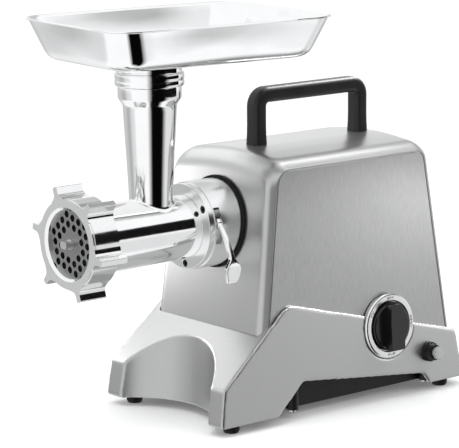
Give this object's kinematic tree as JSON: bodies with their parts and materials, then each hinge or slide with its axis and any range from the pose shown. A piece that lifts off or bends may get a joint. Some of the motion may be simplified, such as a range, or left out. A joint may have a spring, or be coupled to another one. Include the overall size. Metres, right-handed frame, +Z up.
{
  "type": "electric meat grinder",
  "caption": "Countertop electric meat grinder: metal-clad motor housing with carry handle, polished grinding head with ring nut and plate, hopper tray, rotary switch and reset button.",
  "frame": {"origin": "on the surface it stands on, midway between the four rubber feet", "axes": "+Z up, -Y ahead along the grinding head, +X towards the side with the rotary switch"},
  "size_m": [0.2046, 0.4413, 0.397],
  "materials": {
    "silver_paint": "satin silver paint with fine flake",
    "base_paint": "satin silver paint, a little darker",
    "brushed_steel": "brushed stainless sheet",
    "polished_steel": "mirror-polished stainless",
    "nut_metal": "polished casting with a matt front face",
    "lever_metal": "polished casting",
    "plate_steel": "ground tool steel",
    "zinc_steel": "zinc-plated steel",
    "dark_steel": "blackened steel",
    "cast_aluminium": "die-cast aluminium",
    "bronze": "sintered bronze",
    "copper_wire": "varnished copper",
    "carbon": "pressed carbon",
    "black_plastic": "moulded black plastic",
    "charcoal_plastic": "soft-sheen charcoal plastic",
    "knob_plastic": "glossy black plastic",
    "white_plastic": "off-white plastic",
    "clear_cap": "smoky translucent cap",
    "black_rubber": "black rubber",
    "dial_metal": "bright turned dial"
  },
  "bodies": {
    "housing": {"upper_housing": "silver_paint", "side_panel_left": "brushed_steel", "side_panel_right": "brushed_steel", "base_housing": "base_paint", "bottom_cover": "black_plastic", "rubber_feet": "black_rubber", "foot_screws": "zinc_steel", "cover_screws": "zinc_steel", "carry_handle": "charcoal_plastic", "handle_screws": "zinc_steel", "collar_gasket": "black_rubber", "head_socket": "polished_steel", "collar_plate": "polished_steel", "socket_screws": "dark_steel", "lever_pin": "zinc_steel", "gearbox_housing": "cast_aluminium", "gearbox_cover": "cast_aluminium", "gearbox_screws": "zinc_steel", "spindle_bearings": "zinc_steel", "shaft_bushes": "bronze", "motor_sleeve": "zinc_steel", "motor_cradle": "black_plastic", "stator_core": "dark_steel", "field_coils": "copper_wire", "end_bracket": "cast_aluminium", "motor_bearings": "zinc_steel", "brush_holders": "bronze", "carbon_brushes": "carbon", "through_bolts": "zinc_steel", "switch_body": "black_plastic", "dial_ring": "dial_metal", "breaker_body": "black_plastic", "breaker_collar": "black_plastic", "terminal_block": "white_plastic", "cord_gland": "black_plastic"},
    "rotor": {"rotor_shaft": "zinc_steel", "rotor_core": "dark_steel", "commutator": "copper_wire", "cooling_fan": "black_plastic", "motor_pinion": "zinc_steel"},
    "idler": {"intermediate_shaft": "zinc_steel", "intermediate_gear": "zinc_steel", "intermediate_pinion": "zinc_steel"},
    "spindle": {"drive_spindle": "zinc_steel", "output_gear": "zinc_steel"},
    "head": {"head_tube": "polished_steel", "plate_key": "zinc_steel"},
    "feed_screw": {"auger": "cast_aluminium", "auger_stud": "zinc_steel", "cutting_knife": "plate_steel"},
    "plate": {"grinding_plate": "plate_steel"},
    "nut": {"ring_nut": "nut_metal"},
    "tray": {"hopper_tray": "polished_steel"},
    "lever": {"lock_lever": "lever_metal"},
    "knob": {"control_knob": "knob_plastic"},
    "reset": {"reset_button": "clear_cap"}
  },
  "joints": [
    {"name": "motor_spin", "type": "hinge", "parent": "housing", "child": "rotor", "pos_m": [0, 0.04, 0.12], "axis": [0, -1, 0], "continuous": true},
    {"name": "idler_spin", "type": "hinge", "parent": "housing", "child": "idler", "pos_m": [0.02549, -0.055, 0.14682], "axis": [0, -1, 0], "continuous": true},
    {"name": "spindle_spin", "type": "hinge", "parent": "housing", "child": "spindle", "pos_m": [0, -0.06, 0.191], "axis": [0, -1, 0], "continuous": true},
    {"name": "head_slide", "type": "slide", "parent": "housing", "child": "head", "axis": [0, -1, 0], "range_m": [0, 0.06]},
    {"name": "screw_spin", "type": "hinge", "parent": "head", "child": "feed_screw", "pos_m": [0, -0.18, 0.191], "axis": [0, -1, 0], "continuous": true},
    {"name": "plate_slide", "type": "slide", "parent": "head", "child": "plate", "axis": [0, -1, 0], "range_m": [0, 0.0151]},
    {"name": "nut_turn", "type": "hinge", "parent": "plate", "child": "nut", "pos_m": [0, -0.26, 0.191], "axis": [0, -1, 0], "range_deg": [0, 1800]},
    {"name": "tray_lift", "type": "slide", "parent": "head", "child": "tray", "axis": [0, 0, 1], "range_m": [0, 0.06]},
    {"name": "lever_swing", "type": "hinge", "parent": "housing", "child": "lever", "pos_m": [0.0395, -0.126, 0.198], "axis": [0, -1, 0], "range_deg": [0, 75]},
    {"name": "knob_turn", "type": "hinge", "parent": "housing", "child": "knob", "pos_m": [0.08719, 0.0576, 0.0768], "axis": [0.9982, 0, 0.0599], "range_deg": [-90, 90]},
    {"name": "reset_push", "type": "slide", "parent": "housing", "child": "reset", "axis": [-0.9982, 0, -0.0599], "range_m": [0, 0.0025], "stiffness_N_per_m": 500}
  ],
  "couplings": [
    {"joint": "idler_spin", "follows": "motor_spin", "ratio": -0.23333},
    {"joint": "spindle_spin", "follows": "motor_spin", "ratio": 0.05},
    {"joint": "screw_spin", "follows": "motor_spin", "ratio": 0.05},
    {"joint": "plate_slide", "follows": "nut_turn", "m_per_rad": 0.00047746}
  ]
}
